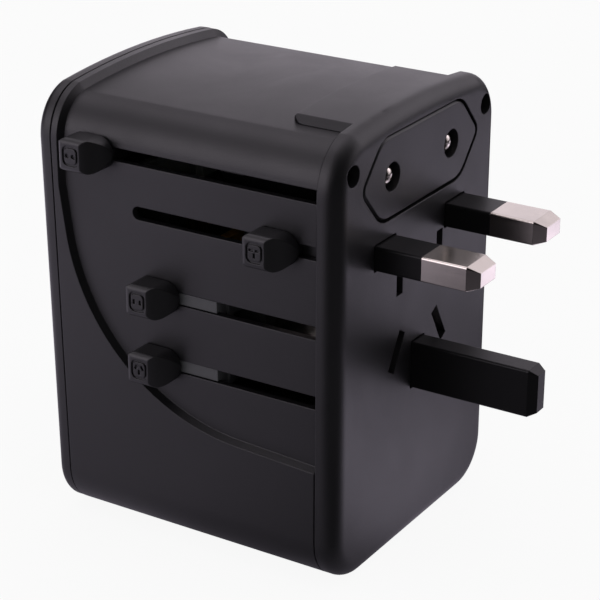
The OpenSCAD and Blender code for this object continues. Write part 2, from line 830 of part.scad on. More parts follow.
// Sets what is drawn from X = 0 on the leaning plane of the socket face
module on_rear() {
  translate([rear_x, 0, body_height])
    rotate([0, -rear_lean, 0])
      translate([0, 0, -body_height])
        children();
}

module at_screws() {
  for (side = [-1, 1])
    translate([0, side * screw_spacing / 2, body_height - screw_from_top])
      children();
}

module front_cover() {
  seat_x = plug_x - screw_head_depth - screw_head_h;
  color(case_color)
    difference() {
      union() {
        translate([cover_x, 0, 0])
          along_x()
            filleted_cover(front_cover_depth, face_fillet);
        top_tongue();
        for (side = [-1, 1])
          box([cover_x - lug_length, side * lug_y - lug_w / 2, floor_z + ring_gap],
              [cover_x, side * lug_y + lug_w / 2, floor_z + ring_gap + lug_h]);
      }
      yz_prism(cover_x - over, plug_x + over) {
        eu_outline(eu_gap);
        uk_earth_outline(pin_gap);
        for (side = [-1, 1]) {
          uk_pin_outline(side, pin_gap);
          us_blade_outline(side, pin_gap);
          au_blade_outline(side, pin_gap);
        }
      }
      at_screws() {
        translate([seat_x, 0, 0])
          rotate([0, 90, 0])
            cylinder(d = screw_bore_d, h = front_cover_depth);
        translate([cover_x - over, 0, 0])
          rotate([0, 90, 0])
            cylinder(d = screw_d + 2 * screw_gap, h = front_cover_depth);
      }
    }
}

module cover_screws() {
  seat_x = plug_x - screw_head_depth - screw_head_h;
  slot_l = screw_bore_d / 2 + screw_d / 4;
  color(steel_color)
    at_screws() {
      translate([seat_x, 0, 0])
        rotate([0, 90, 0])
          difference() {
            cylinder(d = screw_bore_d - 2 * screw_head_gap, h = screw_head_h);
            for (turn = [0, 90])
              rotate(turn)
                translate([0, 0, screw_head_h])
                  cube([slot_l, screw_slot_w, 2 * screw_slot_depth], center = true);
          }
      translate([seat_x - screw_length, 0, 0])
        rotate([0, 90, 0])
          cylinder(d = screw_d, h = screw_length);
    }
}

// Long ribs that guide a slider plate along the inside of the panel
module slider_ribs(z) {
  low = z - plate_drop - plate_h / 2 - slide_gap;
  box([carrier_front_x, -cavity_y - fit_gap, low - rib_t], [housing_front_x, -plate_in_y, low]);
}

module main_housing() {
  boss_r = screw_d / 2 + screw_gap + boss_wall;
  boss_length = screw_length + rib_t;
  screw_z = body_height - screw_from_top;
  color(case_color)
    difference() {
      union() {
        difference() {
          yz_prism(rear_x, housing_front_x)
            case_outline();
          panel_cut();
          on_rear()
            box([-body_depth, -body_width, -over],
                [rear_cover_depth + seam_gap, body_width, body_height + over]);
          yz_prism(rear_x - over, housing_front_x + over)
            case_outline(cavity_inset);
        }
        intersection() {
          yz_prism(housing_rear_x, housing_front_x)
            case_outline(panel_recess);
          union() {
            at_screws()
              translate([housing_front_x - boss_length, 0, 0])
                rotate([0, 90, 0])
                  cylinder(r = boss_r, h = boss_length);
            for (side = [-1, 1])
              mirror([0, side > 0 ? 0 : 1, 0]) {
                box([housing_front_x - boss_length, screw_spacing / 2, screw_z - rib_t / 2],
                    [housing_front_x, cavity_y + fit_gap, screw_z + rib_t / 2]);
                box([board_x, cavity_y - rib_w, board_z - rib_t],
                    [board_end_x, cavity_y + fit_gap, board_z]);
                box([board_x, cavity_y - rib_w, divider_low_z - rib_t],
                    [board_end_x, cavity_y + fit_gap, divider_low_z]);
              }
            for (z = [eu_slot_z, uk_slot_z, us_slot_z, au_slot_z])
              slider_ribs(z);
          }
        }
      }
      slider_slot(eu_slot_z, slot_rear(eu_knob_x + stem_inset));
      slider_slot(uk_slot_z, slot_rear(uk_knob_x + stem_inset - uk_travel));
      slider_slot(us_slot_z, slot_rear(blade_knob_x + stem_inset));
      slider_slot(au_slot_z, slot_rear(blade_knob_x + stem_inset));
      at_screws()
        translate([housing_front_x - screw_length - rib_t / 2, 0, 0])
          rotate([0, 90, 0])
            cylinder(d = screw_d + 2 * screw_gap, h = screw_length + over);
      for (i = [0:port_count - 1])
        translate([0, port_y[i], -over])
          linear_extrude(floor_z + 2 * over)
            port_outline(i, port_gap);
    }
}

// Combined entry hole of one side of the rear socket, in Y and Z
module socket_hole(side) {
  translate([0, socket_z]) {
    translate([side * uk_pin_spacing / 2, 0])
      square([socket_pin_w, socket_pin_t], center = true);
    translate([side * eu_pin_spacing / 2, 0])
      circle(d = socket_pin_d);
    translate([side * us_spacing / 2, 0])
      square([socket_blade_t, socket_blade_w], center = true);
    translate([side * au_spacing / 2, 0])
      rotate(-side * au_lean)
        square([socket_blade_t, socket_blade_w - socket_gap], center = true);
  }
}

module rear_cover() {
  color(case_color)
    difference() {
      union() {
        on_rear() {
          translate([rear_cover_depth, 0, 0])
            mirror([1, 0, 0])
              along_x()
                filleted_cover(rear_cover_depth, rear_fillet);
          yz_prism(rear_cover_depth - fit_gap, rear_cover_depth + ring_depth)
            difference() {
              case_outline(cavity_inset + ring_gap);
              case_outline(cavity_inset + ring_gap + ring_t);
            }
        }
        yz_prism(rear_cover_x, socket_boss_x) {
          translate([0, socket_z])
            square([2 * socket_boss_y, socket_boss_h], center = true);
          translate([0, socket_earth_z])
            square([socket_earth_w + 2 * ring_t, socket_earth_h + 2 * ring_t], center = true);
        }
      }
      yz_prism(rear_x - over, socket_boss_x + over) {
        socket_hole(-1);
        socket_hole(1);
        translate([0, socket_earth_z])
          square([socket_earth_w, socket_earth_h], center = true);
      }
    }
}

module eu_block() {
  notch_end_x = eu_arm_front_x + eu_pin_travel + slide_gap;
  stop_x = cover_x - fit_gap - eu_block_travel;
  color(case_color)
    difference() {
      union() {
        hull() {
          yz_prism(eu_block_rear_x, plug_x - eu_chamfer)
            eu_outline();
          yz_prism(eu_block_rear_x, plug_x)
            eu_outline(-eu_chamfer);
        }
        box([eu_block_rear_x, eu_width / 2 - 2 * eu_block_wall, eu_beam_z - eu_beam_h / 2],
            [stop_x, eu_width / 2 + eu_stop_w, eu_beam_z + eu_beam_h / 2]);
      }
      yz_prism(eu_block_rear_x - over, plug_x - eu_face_t)
        eu_outline(-eu_block_wall);
      box([eu_block_rear_x - over, -eu_width / 2 - over, eu_beam_z - eu_beam_h / 2 - slide_gap],
          [notch_end_x, -eu_beam_y, eu_beam_z + eu_beam_h / 2 + slide_gap]);
      for (side = [-1, 1])
        translate([plug_x - eu_face_t - over, side * eu_pin_spacing / 2, eu_z])
          rotate([0, 90, 0])
            cylinder(d = eu_pin_d + 2 * eu_hole_gap, h = eu_face_t + 2 * over);
    }
}

module eu_pins() {
  tip_x = plug_x - eu_pin_recess;
  sleeve_x = eu_plate_front_x + slide_gap + eu_face_t;
  color(pin_color)
    for (side = [-1, 1])
      translate([0, side * eu_pin_spacing / 2, eu_z])
        rotate([0, 90, 0]) {
          translate([0, 0, eu_plate_rear_x])
            cylinder(d = eu_pin_d - 2 * eu_sleeve_t, h = sleeve_x + eu_sleeve_length - eu_plate_rear_x);
          translate([0, 0, sleeve_x + eu_sleeve_length])
            cylinder(d = eu_pin_d, h = tip_x - eu_pin_d / 2 - sleeve_x - eu_sleeve_length);
          translate([0, 0, tip_x - eu_pin_d / 2])
            sphere(d = eu_pin_d);
        }
}

module eu_pin_sleeves() {
  sleeve_x = eu_plate_front_x + slide_gap + eu_face_t;
  length = sleeve_x + eu_sleeve_length - eu_plate_front_x;
  color(sleeve_color)
    for (side = [-1, 1])
      translate([eu_plate_front_x, side * eu_pin_spacing / 2, eu_z])
        rotate([0, 90, 0])
          difference() {
            cylinder(d = eu_pin_d, h = length);
            translate([0, 0, -over])
              cylinder(d = eu_pin_d - 2 * eu_sleeve_t, h = length + 2 * over);
          }
}

// Slider plate behind the panel, its stem in the slot and the peg that holds the knob
module slider(z, knob_x, plate_x0, plate_x1, stem_end_x) {
  mid = z - plate_drop;
  r = stem_h / 2;
  stem_x = knob_x + stem_inset + r;
  box([plate_x0, -plate_out_y, mid - plate_h / 2], [plate_x1, -plate_in_y, mid + plate_h / 2]);
  xz_prism(-panel_y + stem_sink, -plate_in_y)
    translate([stem_x, z]) {
      circle(r);
      translate([0, -r])
        square([stem_end_x - stem_x, stem_h]);
    }
  peg(z, knob_x);
}

module peg(z, knob_x) {
  mid_x = knob_x + stem_inset + stem_length / 2;
  box([mid_x - peg_length / 2, -knob_low_y - peg_depth, z - stem_h / 2],
      [mid_x + peg_length / 2, -panel_y + stem_sink, z + stem_h / 2]);
}

module eu_carriage() {
  arm_x = eu_knob_x - stem_inset;
  beam_low_z = eu_beam_z - eu_beam_h / 2;
  beam_top_z = eu_beam_z + eu_beam_h / 2;
  color(knob_color)
    difference() {
      union() {
        slider(eu_slot_z, eu_knob_x, arm_x, eu_arm_front_x, eu_arm_front_x);
        box([arm_x, -plate_in_y, beam_low_z], [eu_arm_front_x, -eu_beam_y, beam_top_z]);
        box([arm_x, -eu_beam_y - eu_beam_w, beam_low_z], [eu_plate_rear_x, -eu_beam_y, beam_top_z]);
        box([eu_plate_rear_x, -eu_plate_w / 2, eu_z - eu_plate_h / 2],
            [eu_plate_front_x, eu_plate_w / 2, eu_z + eu_plate_h / 2]);
      }
      for (side = [-1, 1])
        translate([eu_plate_rear_x - over, side * eu_pin_spacing / 2, eu_z])
          rotate([0, 90, 0])
            cylinder(d = eu_pin_d - 2 * eu_sleeve_t, h = eu_plate_t + 2 * over);
    }
}

// Thumb knob: a steep back to push against, a flat face and a curved nose
module knob(z, knob_x) {
  height = knob_top_y - knob_low_y;
  color(knob_color)
    difference() {
      intersection() {
        translate([knob_x, -knob_low_y, z - knob_height / 2])
          mirror([0, 1, 0])
            linear_extrude(knob_height)
              knob_profile(height);
        xz_prism(-knob_top_y, -knob_low_y)
          translate([knob_x, z])
            knob_outline();
        yz_prism(knob_x - over, knob_x + knob_length + over)
          translate([-knob_low_y, z])
            mirror([1, 0])
              knob_end(height);
      }
      peg(z, knob_x);
      xz_prism(-knob_top_y - over, -knob_top_y + mark_depth)
        translate([knob_x + (knob_face + knob_fillet) / 2, z]) {
          mark_frame();
          children();
        }
    }
}

// Knob seen from above, standing on its panel, with an arc from its face down to its front lip
module knob_profile(height) {
  chord = [knob_length - knob_face, height - knob_lip];
  reach = sqrt(pow(knob_nose_radius, 2) - pow(norm(chord) / 2, 2)) / norm(chord);
  nose_x = (knob_face + knob_length) / 2 - reach * chord[1];
  nose_y = (height + knob_lip) / 2 - reach * chord[0];
  mid_x = knob_face / 2;
  square([mid_x + fit_gap, height - knob_fillet]);
  translate([knob_fillet, 0])
    square([mid_x + fit_gap - knob_fillet, height]);
  translate([knob_fillet, height - knob_fillet])
    circle(knob_fillet);
  intersection() {
    translate([nose_x, nose_y])
      circle(knob_nose_radius);
    translate([mid_x, 0])
      square([knob_length + over - mid_x, height]);
  }
}

// Knob seen from the front of its panel, with round rear corners and a round nose
module knob_outline() {
  nose_x = knob_length - knob_height / 2;
  translate([nose_x, 0])
    circle(d = knob_height);
  translate([knob_corner, -knob_height / 2])
    square([nose_x - knob_corner, knob_height]);
  translate([0, knob_corner - knob_height / 2])
    square([nose_x, knob_height - 2 * knob_corner]);
  for (level = [-1, 1])
    translate([knob_corner, level * (knob_height / 2 - knob_corner)])
      circle(knob_corner);
}

// End view of a knob, standing out along +X with its two outer corners rounded
module knob_end(height) {
  inner_h = knob_height - 2 * knob_fillet;
  translate([0, -knob_height / 2])
    square([height - knob_fillet, knob_height]);
  translate([0, -inner_h / 2])
    square([height, inner_h]);
  for (level = [-1, 1])
    translate([height - knob_fillet, level * inner_h / 2])
      circle(knob_fillet);
}

// Frame of a mark, just inside the edge of the flat face
module mark_frame() {
  w = knob_face - knob_fillet - 2 * mark_margin;
  h = knob_height - 2 * knob_fillet - 2 * mark_margin;
  difference() {
    rounded_rect(w, h, mark_corner);
    rounded_rect(w - 2 * mark_stroke, h - 2 * mark_stroke, mark_corner - mark_stroke);
  }
}

// Upright stroke of a mark at a place in X and Z
module mark_stroke_at(x, z) {
  translate([x, z])
    square([mark_stroke, mark_length], center = true);
}

// Each mark is a small picture of the pins that its knob moves
module eu_knob() {
  knob(eu_slot_z, eu_knob_x)
    for (side = [-1, 1])
      translate([side * mark_spread / 2, 0])
        circle(d = mark_dot_d);
}

module uk_knob() {
  knob(uk_slot_z, uk_knob_x) {
    for (side = [-1, 1])
      translate([side * mark_spread / 2, mark_length / 2])
        square([mark_length, mark_stroke], center = true);
    mark_stroke_at(0, -mark_length / 2);
  }
}

module us_knob() {
  knob(us_slot_z, blade_knob_x)
    for (side = [-1, 1])
      mark_stroke_at(side * mark_spread / 2, 0);
}

module au_knob() {
  knob(au_slot_z, blade_knob_x) {
    for (side = [-1, 1])
      translate([side * mark_spread / 2, mark_length / 2])
        rotate(side * au_lean)
          mark_stroke_at(0, 0);
    mark_stroke_at(0, -mark_length / 2);
  }
}

// Bevelled tip between a full section and a narrower end
module bevelled_tip(end_x, length, bevel) {
  hull() {
    yz_prism(end_x - length - fit_gap, end_x - length)
      children(0);
    yz_prism(end_x - fit_gap, end_x)
      offset(delta = -bevel)
        children(0);
  }
}

module uk_pins() {
  sleeve_end_x = plug_x + uk_sleeve_length;
  tip_x = plug_x + uk_pin_length;
  color(pin_color)
    for (side = [-1, 1]) {
      yz_prism(uk_bar_rear_x, sleeve_end_x)
        uk_core_outline(side);
      yz_prism(sleeve_end_x, tip_x - uk_tip_length)
        uk_pin_outline(side);
      bevelled_tip(tip_x, uk_tip_length, uk_tip_bevel)
        uk_pin_outline(side);
    }
}

module uk_pin_sleeves() {
  color(sleeve_color)
    for (side = [-1, 1])
      yz_prism(bar_front_x, plug_x + uk_sleeve_length)
        difference() {
          uk_pin_outline(side);
          uk_core_outline(side);
        }
}

module uk_earth_pin() {
  tip_x = plug_x + uk_earth_length;
  color(sleeve_color) {
    yz_prism(uk_bar_rear_x, tip_x - uk_earth_tip_length)
      uk_earth_outline();
    bevelled_tip(tip_x, uk_earth_tip_length, uk_tip_bevel)
      uk_earth_outline();
  }
}

module uk_carriage() {
  column_y = plate_out_y;
  stem_x = uk_knob_x + stem_inset;
  arm_low_z = uk_slot_z - plate_drop - plate_h / 2;
  color(knob_color)
    difference() {
      union() {
        slider(uk_slot_z, uk_knob_x, stem_x, bar_front_x, stem_x + stem_length);
        box([uk_bar_rear_x, -plate_in_y, arm_low_z], [bar_front_x, -uk_bar_end_y, uk_bar_top_z]);
        box([uk_bar_rear_x, -uk_bar_end_y, uk_bar_low_z], [bar_front_x, column_y, uk_bar_top_z]);
        box([uk_bar_rear_x, column_y - uk_column_w, uk_foot_low_z], [bar_front_x, column_y, uk_bar_top_z]);
        box([uk_bar_rear_x, -uk_foot_end_y, uk_foot_low_z], [bar_front_x, column_y, uk_foot_top_z]);
      }
      yz_prism(uk_bar_rear_x - over, bar_front_x + over) {
        uk_core_outline(-1);
        uk_core_outline(1);
        uk_earth_outline();
      }
    }
}

module us_blades() {
  tip_x = plug_x - blade_recess;
  color(pin_color)
    for (side = [-1, 1]) {
      yz_prism(blade_bar_rear_x, tip_x - blade_bevel)
        us_blade_outline(side);
      bevelled_tip(tip_x, blade_bevel, blade_bevel)
        us_blade_outline(side);
    }
}

module us_carriage() {
  arm_low_z = us_slot_z - plate_drop - plate_h / 2;
  color(slider_color)
    difference() {
      union() {
        slider(us_slot_z, blade_knob_x, blade_knob_x, strip_end_x, strip_end_x);
        box([blade_bar_rear_x, -plate_in_y, arm_low_z], [blade_bar_front_x, -us_bar_y, us_z]);
        box([blade_bar_rear_x, -us_bar_y, us_bar_low_z], [blade_bar_front_x, us_bar_y, us_bar_top_z]);
      }
      yz_prism(blade_bar_rear_x - over, blade_bar_front_x + over) {
        us_blade_outline(-1);
        us_blade_outline(1);
      }
    }
}

module au_blades() {
  tip_x = plug_x - blade_recess;
  color(pin_color)
    for (side = [-1, 1]) {
      yz_prism(blade_bar_rear_x, tip_x - blade_bevel)
        au_blade_outline(side);
      bevelled_tip(tip_x, blade_bevel, blade_bevel)
        au_blade_outline(side);
    }
}

module au_carriage() {
  arm_low_z = au_slot_z - plate_drop - plate_h / 2;
  color(slider_color)
    difference() {
      union() {
        slider(au_slot_z, blade_knob_x, blade_knob_x, strip_end_x, strip_end_x);
        box([blade_bar_rear_x, -plate_in_y, arm_low_z], [blade_bar_front_x, -au_bar_y, au_z]);
        box([blade_bar_rear_x, -au_bar_y, au_bar_low_z], [blade_bar_front_x, au_bar_y, au_bar_top_z]);
      }
      box([blade_bar_rear_x - over, -au_gate_y, au_bar_low_z - over],
          [blade_bar_front_x + over, au_gate_y, au_gate_z]);
      yz_prism(blade_bar_rear_x - over, blade_bar_front_x + over) {
        au_blade_outline(-1);
        au_blade_outline(1);
      }
    }
}

// Open-backed tray that carries the contacts and guides the shutter
module socket_carrier() {
  color(sleeve_color)
    difference() {
      union() {
        box([carrier_plate_x, -carrier_y, divider_top_z], [carrier_front_x, carrier_y, carrier_top_z]);
        for (side = [-1, 1])
          mirror([0, side > 0 ? 0 : 1, 0]) {
            box([carrier_rear_x, carrier_in_y, divider_top_z], [carrier_front_x, carrier_y, carrier_top_z]);
            box([shutter_x, spring_y - spring_d, divider_top_z],
                [shutter_x + spring_d + 2 * spring_wire_d, carrier_in_y, spring_low_z]);
          }
      }
      yz_prism(carrier_plate_x - over, carrier_front_x + over)
        translate([0, socket_earth_z])
          square([socket_earth_w, socket_earth_h], center = true);
      for (side = [-1, 1])
        translate([0, side * jaw_mid_y, 0])
          box([carrier_plate_x - over, -riser_w / 2, socket_z - jaw_gap / 2],
              [carrier_front_x + over, riser_w / 2, socket_z + jaw_gap / 2]);
    }
}

// Sprung plate that closes the line and neutral holes, with two ramps that the entering pins push on
module socket_shutter() {
  end_x = shutter_x + shutter_t;
  color(inner_color) {
    box([shutter_x, -shutter_y, shutter_low_z], [end_x, shutter_y, shutter_low_z + shutter_h]);
    for (side = [-1, 1])
      translate([0, side * uk_pin_spacing / 2 + ramp_w / 2, 0])
        rotate([90, 0, 0])
          linear_extrude(ramp_w)
            polygon([[end_x, shutter_low_z], [end_x + ramp_t, shutter_low_z],
                     [end_x, shutter_low_z + shutter_h]]);
  }
}

// Points of one spring: rings of a round wire set along a helix
function spring_angle(i) = 360 * i / spring_rings;
function spring_length() = shutter_low_z - spring_low_z - spring_wire_d - 2 * fit_gap;
function spring_pitch() = spring_length() / spring_turns;
function spring_middle(i) = [
  cos(spring_angle(i)) * spring_d / 2,
  sin(spring_angle(i)) * spring_d / 2,
  spring_length() * i / (spring_turns * spring_rings)
];
function spring_ring(i) = let (
  a = spring_angle(i),
  slope = atan(spring_pitch() / (PI * spring_d)),
  outward = [cos(a), sin(a), 0],
  upward = [sin(a) * sin(slope), -cos(a) * sin(slope), cos(slope)]
) [for (k = [0:spring_sides - 1])
    spring_middle(i) + spring_wire_d / 2 * (cos(360 * k / spring_sides) * outward
                                            + sin(360 * k / spring_sides) * upward)];

module coil_spring() {
  last = spring_turns * spring_rings;
  points = [for (i = [0:last]) each spring_ring(i)];
  sides = [
    for (i = [0:last - 1], k = [0:spring_sides - 1])
      let (a = i * spring_sides + k, b = i * spring_sides + (k + 1) % spring_sides)
        each [[a, a + spring_sides, b], [b, a + spring_sides, b + spring_sides]]
  ];
  first_cap = [for (k = [1:spring_sides - 2]) [0, k, k + 1]];
  end = last * spring_sides;
  last_cap = [for (k = [1:spring_sides - 2]) [end, end + k + 1, end + k]];
  echo(least_spring_gap = min([for (i = [0:last - spring_rings])
    norm(spring_middle(i + spring_rings) - spring_middle(i)) - spring_wire_d]));
  polyhedron(points, concat(sides, first_cap, last_cap));
}

module shutter_springs() {
  color(steel_color)
    for (side = [-1, 1])
      translate([shutter_x + spring_d / 2 + spring_wire_d, side * spring_y,
                 spring_low_z + spring_wire_d / 2 + fit_gap])
        coil_spring();
}

// Contact of one pole: spring jaws behind the socket and a tail through the carrier to a riser
module contact(side) {
  back_x = carrier_plate_x - contact_t;
  tail_t = jaw_gap - 2 * fit_gap;
  color(brass_color)
    mirror([0, side > 0 ? 0 : 1, 0]) {
      for (level = [-1, 1])
        translate([0, 0, socket_z + level * (jaw_gap + contact_t) / 2])
          box([jaw_x, jaw_y, -contact_t / 2],
              [carrier_plate_x, jaw_end_y, contact_t / 2]);
      box([back_x, jaw_y, socket_z - jaw_gap / 2], [carrier_plate_x, jaw_end_y, socket_z + jaw_gap / 2]);
      box([carrier_plate_x, jaw_mid_y - riser_w / 2 + fit_gap, socket_z - tail_t / 2],
          [carrier_front_x, jaw_mid_y + riser_w / 2 - fit_gap, socket_z + tail_t / 2]);
      box([carrier_front_x, jaw_mid_y - riser_w / 2, socket_z - riser_h],
          [carrier_front_x + contact_t, jaw_mid_y + riser_w / 2, socket_z + tail_t / 2]);
    }
}

module live_contact() {
  contact(-1);
}

module neutral_contact() {
  contact(1);
}

module resettable_fuse() {
  color(tape_color)
    yz_prism(carrier_front_x, carrier_front_x + fuse_t)
      translate([0, socket_z - riser_h + fuse_h / 2])
        rounded_rect(fuse_w, fuse_h, fuse_t / 2);
}

// Insulating plate between the mains parts and the charger
module divider_plate() {
  color(sleeve_color)
    box([board_x, -board_y, divider_low_z], [board_end_x, board_y, divider_top_z]);
}

module charger_board() {
  color(board_color)
    box([board_x, -board_y, board_z], [board_end_x, board_y, board_top_z]);
}

// Port outlines in X and Y: two small reversible ports, then two flat rectangular ones
module port_outline(i, grow = 0) {
  if (i < 2)
    rounded_rect(usb_c_w + 2 * grow, usb_c_h + 2 * grow, usb_c_h / 2 + grow - fit_gap);
  else
    rounded_rect(usb_a_w + 2 * grow, usb_a_h + 2 * grow, port_corner);
}

module port_shells(first) {
  for (i = [first, first + 1])
    translate([0, port_y[i], port_recess])
      linear_extrude(board_z - port_recess)
        difference() {
          port_outline(i);
          port_outline(i, -shell_t);
        }
}

module port_inserts(first, tongue_w, tongue_t, tongue_shift) {
  base_z = board_z - insert_base;
  for (i = [first, first + 1])
    translate([0, port_y[i], 0]) {
      translate([0, 0, base_z])
        linear_extrude(insert_base)
          port_outline(i, -shell_t);
      translate([0, tongue_shift, (base_z + port_recess + over) / 2])
        cube([tongue_w, tongue_t, base_z - port_recess - over], center = true);
    }
}

module usb_c_shells() {
  color(steel_color)
    port_shells(0);
}

module usb_a_shells() {
  color(steel_color)
    port_shells(2);
}

module usb_c_inserts() {
  color(ferrite_color)
    port_inserts(0, usb_c_w - usb_c_h, usb_c_tongue, 0);
}

module usb_a_inserts() {
  color(inner_color)
    port_inserts(2, usb_a_w - 2 * usb_a_tongue, usb_a_tongue, usb_a_tongue / 2);
}

module transformer_core() {
  window_h = transformer_h - 2 * core_t;
  color(ferrite_color)
    translate([transformer_x, transformer_y, board_top_z])
      difference() {
        translate([0, 0, transformer_h / 2])
          cube([transformer_d, transformer_w, transformer_h], center = true);
        for (side = [-1, 1])
          translate([0, side * (core_leg + core_window) / 2, transformer_h / 2])
            cube([transformer_d + 2 * over, core_window, window_h], center = true);
      }
}

module transformer_winding() {
  window_h = transformer_h - 2 * core_t;
  color(tape_color)
    translate([transformer_x, transformer_y, board_top_z + transformer_h / 2])
      translate([0, 0, -window_h / 2 + winding_gap])
        linear_extrude(window_h - 2 * winding_gap)
          difference() {
            rounded_rect(transformer_d + 2 * core_window, core_leg + 2 * core_window - 2 * winding_gap,
                         core_window / 2);
            square([transformer_d + 2 * winding_gap, core_leg + 2 * winding_gap], center = true);
          }
}

module bulk_capacitors() {
  color(can_color)
    for (i = [0, 1])
      translate([capacitor_x - i * (capacitor_d + over), capacitor_y, board_top_z])
        cylinder(d = capacitor_d, h = capacitor_h);
}

module filter_choke() {
  color(brass_color)
    translate([choke_x, choke_y, board_top_z])
      rotate_extrude()
        translate([choke_d / 2 - choke_ring / 2, choke_t / 2])
          rounded_rect(choke_ring, choke_t, choke_ring / 4);
}

front_cover();
main_housing();
rear_cover();
cover_screws();
eu_block();
eu_pins();
eu_pin_sleeves();
eu_carriage();
eu_knob();
uk_pins();
uk_pin_sleeves();
uk_earth_pin();
uk_carriage();
uk_knob();
us_blades();
us_carriage();
us_knob();
au_blades();
au_carriage();
au_knob();
socket_carrier();
socket_shutter();
shutter_springs();
live_contact();
neutral_contact();
resettable_fuse();
divider_plate();
charger_board();
usb_c_shells();
usb_c_inserts();
usb_a_shells();
usb_a_inserts();
transformer_core();
transformer_winding();
bulk_capacitors();
filter_choke();
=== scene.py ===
# %% [markdown]
# # A universal travel adapter, dressed for its portrait
# The solids arrive ready made: a black moulded case, four sliding plug sets and a rear socket.
# This lesson gives them their finishes, adds the leaves in the ports and the springs of the shutter,
# and sets up the studio.
# The model's own axes are kept: pins along +X, thumb sliders on -Y, ports underneath, all in metres.

# %% Load the solids
import json
import math

import bmesh
import bpy
from mathutils import Matrix, Vector


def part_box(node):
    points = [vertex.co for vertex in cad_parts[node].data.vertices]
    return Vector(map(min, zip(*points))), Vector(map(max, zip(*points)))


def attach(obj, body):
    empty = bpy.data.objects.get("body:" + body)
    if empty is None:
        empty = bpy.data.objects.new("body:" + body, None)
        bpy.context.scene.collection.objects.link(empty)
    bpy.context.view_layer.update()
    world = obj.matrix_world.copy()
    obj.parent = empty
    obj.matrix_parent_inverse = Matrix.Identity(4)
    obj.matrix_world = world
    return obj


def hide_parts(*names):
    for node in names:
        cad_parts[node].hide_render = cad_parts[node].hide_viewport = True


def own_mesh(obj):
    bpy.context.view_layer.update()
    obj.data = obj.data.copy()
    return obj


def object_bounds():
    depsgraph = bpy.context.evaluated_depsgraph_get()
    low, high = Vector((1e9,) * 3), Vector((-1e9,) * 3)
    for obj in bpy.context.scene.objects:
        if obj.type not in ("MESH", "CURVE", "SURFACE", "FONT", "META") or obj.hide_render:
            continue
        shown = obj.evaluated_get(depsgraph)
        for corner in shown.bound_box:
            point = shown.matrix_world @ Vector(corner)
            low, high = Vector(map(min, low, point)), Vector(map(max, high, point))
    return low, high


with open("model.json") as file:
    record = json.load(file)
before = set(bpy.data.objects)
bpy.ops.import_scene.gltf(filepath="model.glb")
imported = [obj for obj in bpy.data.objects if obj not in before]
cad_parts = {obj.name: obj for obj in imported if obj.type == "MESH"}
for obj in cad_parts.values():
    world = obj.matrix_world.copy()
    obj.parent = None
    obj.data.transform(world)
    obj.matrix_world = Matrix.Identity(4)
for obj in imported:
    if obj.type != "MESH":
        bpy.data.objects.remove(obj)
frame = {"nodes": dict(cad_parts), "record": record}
solids = frame["nodes"]
cad_low, cad_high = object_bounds()
MM = 0.001
print("solids:", len(solids), "box in mm:", [round(v / MM, 1) for v in cad_high - cad_low])

# %% [markdown]
# ## The camera
# The pins follow plug standards, so their sizes in the picture give the lens and the distance.
# A long lens from the right, a little above, keeps the case's edges nearly parallel.
# The three axes of the camera are written as columns of a matrix, which avoids any aiming by eye.

# %% Place the camera
EYE = Vector((166.85, -259.04, 165.19)) * MM
YAW, PITCH, ROLL = 0.556867, 0.399919, 0.002666
FOCAL_PIXELS, PICTURE_PIXELS, SENSOR = 2023.6, 600, 36.0

back = Vector((math.sin(YAW) * math.cos(PITCH), -math.cos(YAW) * math.cos(PITCH), math.sin(PITCH)))
level = Vector((math.cos(YAW), math.sin(YAW), 0))
rise = back.cross(level)
right = level * math.cos(ROLL) + rise * math.sin(ROLL)
up = rise * math.cos(ROLL) - level * math.sin(ROLL)

lens = bpy.data.cameras.new("long_lens")
lens.sensor_width = SENSOR
lens.lens = FOCAL_PIXELS / PICTURE_PIXELS * SENSOR
lens.clip_start, lens.clip_end = 0.01, 20
camera = bpy.data.objects.new("long_lens", lens)
camera.matrix_world = Matrix.Translation(EYE) @ Matrix((right, up, back)).transposed().to_4x4()
bpy.context.scene.collection.objects.link(camera)
bpy.context.scene.camera = camera
print("lens:", round(lens.lens, 1), "mm at", round((EYE - (cad_low + cad_high) / 2).length, 3), "m")

# %% [markdown]
# ## Building blocks for finishes
# Every finish is drawn by nodes on Object coordinates, so it stays on its piece and needs no image.
# A few small helpers keep the node code short: they add a node, open a material or a group, and mix values.

# %% Node helpers
def add(tree, kind, settings=None, **values):
    made = tree.nodes.new(kind)
    for key, value in (settings or {}).items():
        setattr(made, key, value)
    for key, value in values.items():
        made.inputs[key.replace("_", " ")].default_value = value
    return made


def finish_named(name):
    made = bpy.data.materials.new(name)
    made.use_nodes = True
    tree = made.node_tree
    shader = tree.nodes["Principled BSDF"]
    place = tree.nodes.new("ShaderNodeTexCoord")
    return made, tree, shader, place.outputs["Object"]


def group_named(name, inputs, outputs):
    tree = bpy.data.node_groups.new(name, "ShaderNodeTree")
    for label, kind, value in inputs:
        socket = tree.interface.new_socket(label, in_out="INPUT", socket_type=kind)
        if value is not None:
            socket.default_value = value
    for label, kind in outputs:
        tree.interface.new_socket(label, in_out="OUTPUT", socket_type=kind)
    return tree, tree.nodes.new("NodeGroupInput").outputs, tree.nodes.new("NodeGroupOutput").inputs


def blended(tree, share, low, high):
    mix = add(tree, "ShaderNodeMix", {"data_type": "RGBA"})
    tree.links.new(share, mix.inputs[0])
    mix.inputs[6].default_value = (*low, 1)
    mix.inputs[7].default_value = (*high, 1)
    return mix.outputs[2]


def ranged(tree, value, low, high, out_low, out_high):
    span = add(tree, "ShaderNodeMapRange", From_Min=low, From_Max=high, To_Min=out_low, To_Max=out_high)
    tree.links.new(value, span.inputs["Value"])
    return span.outputs["Result"]


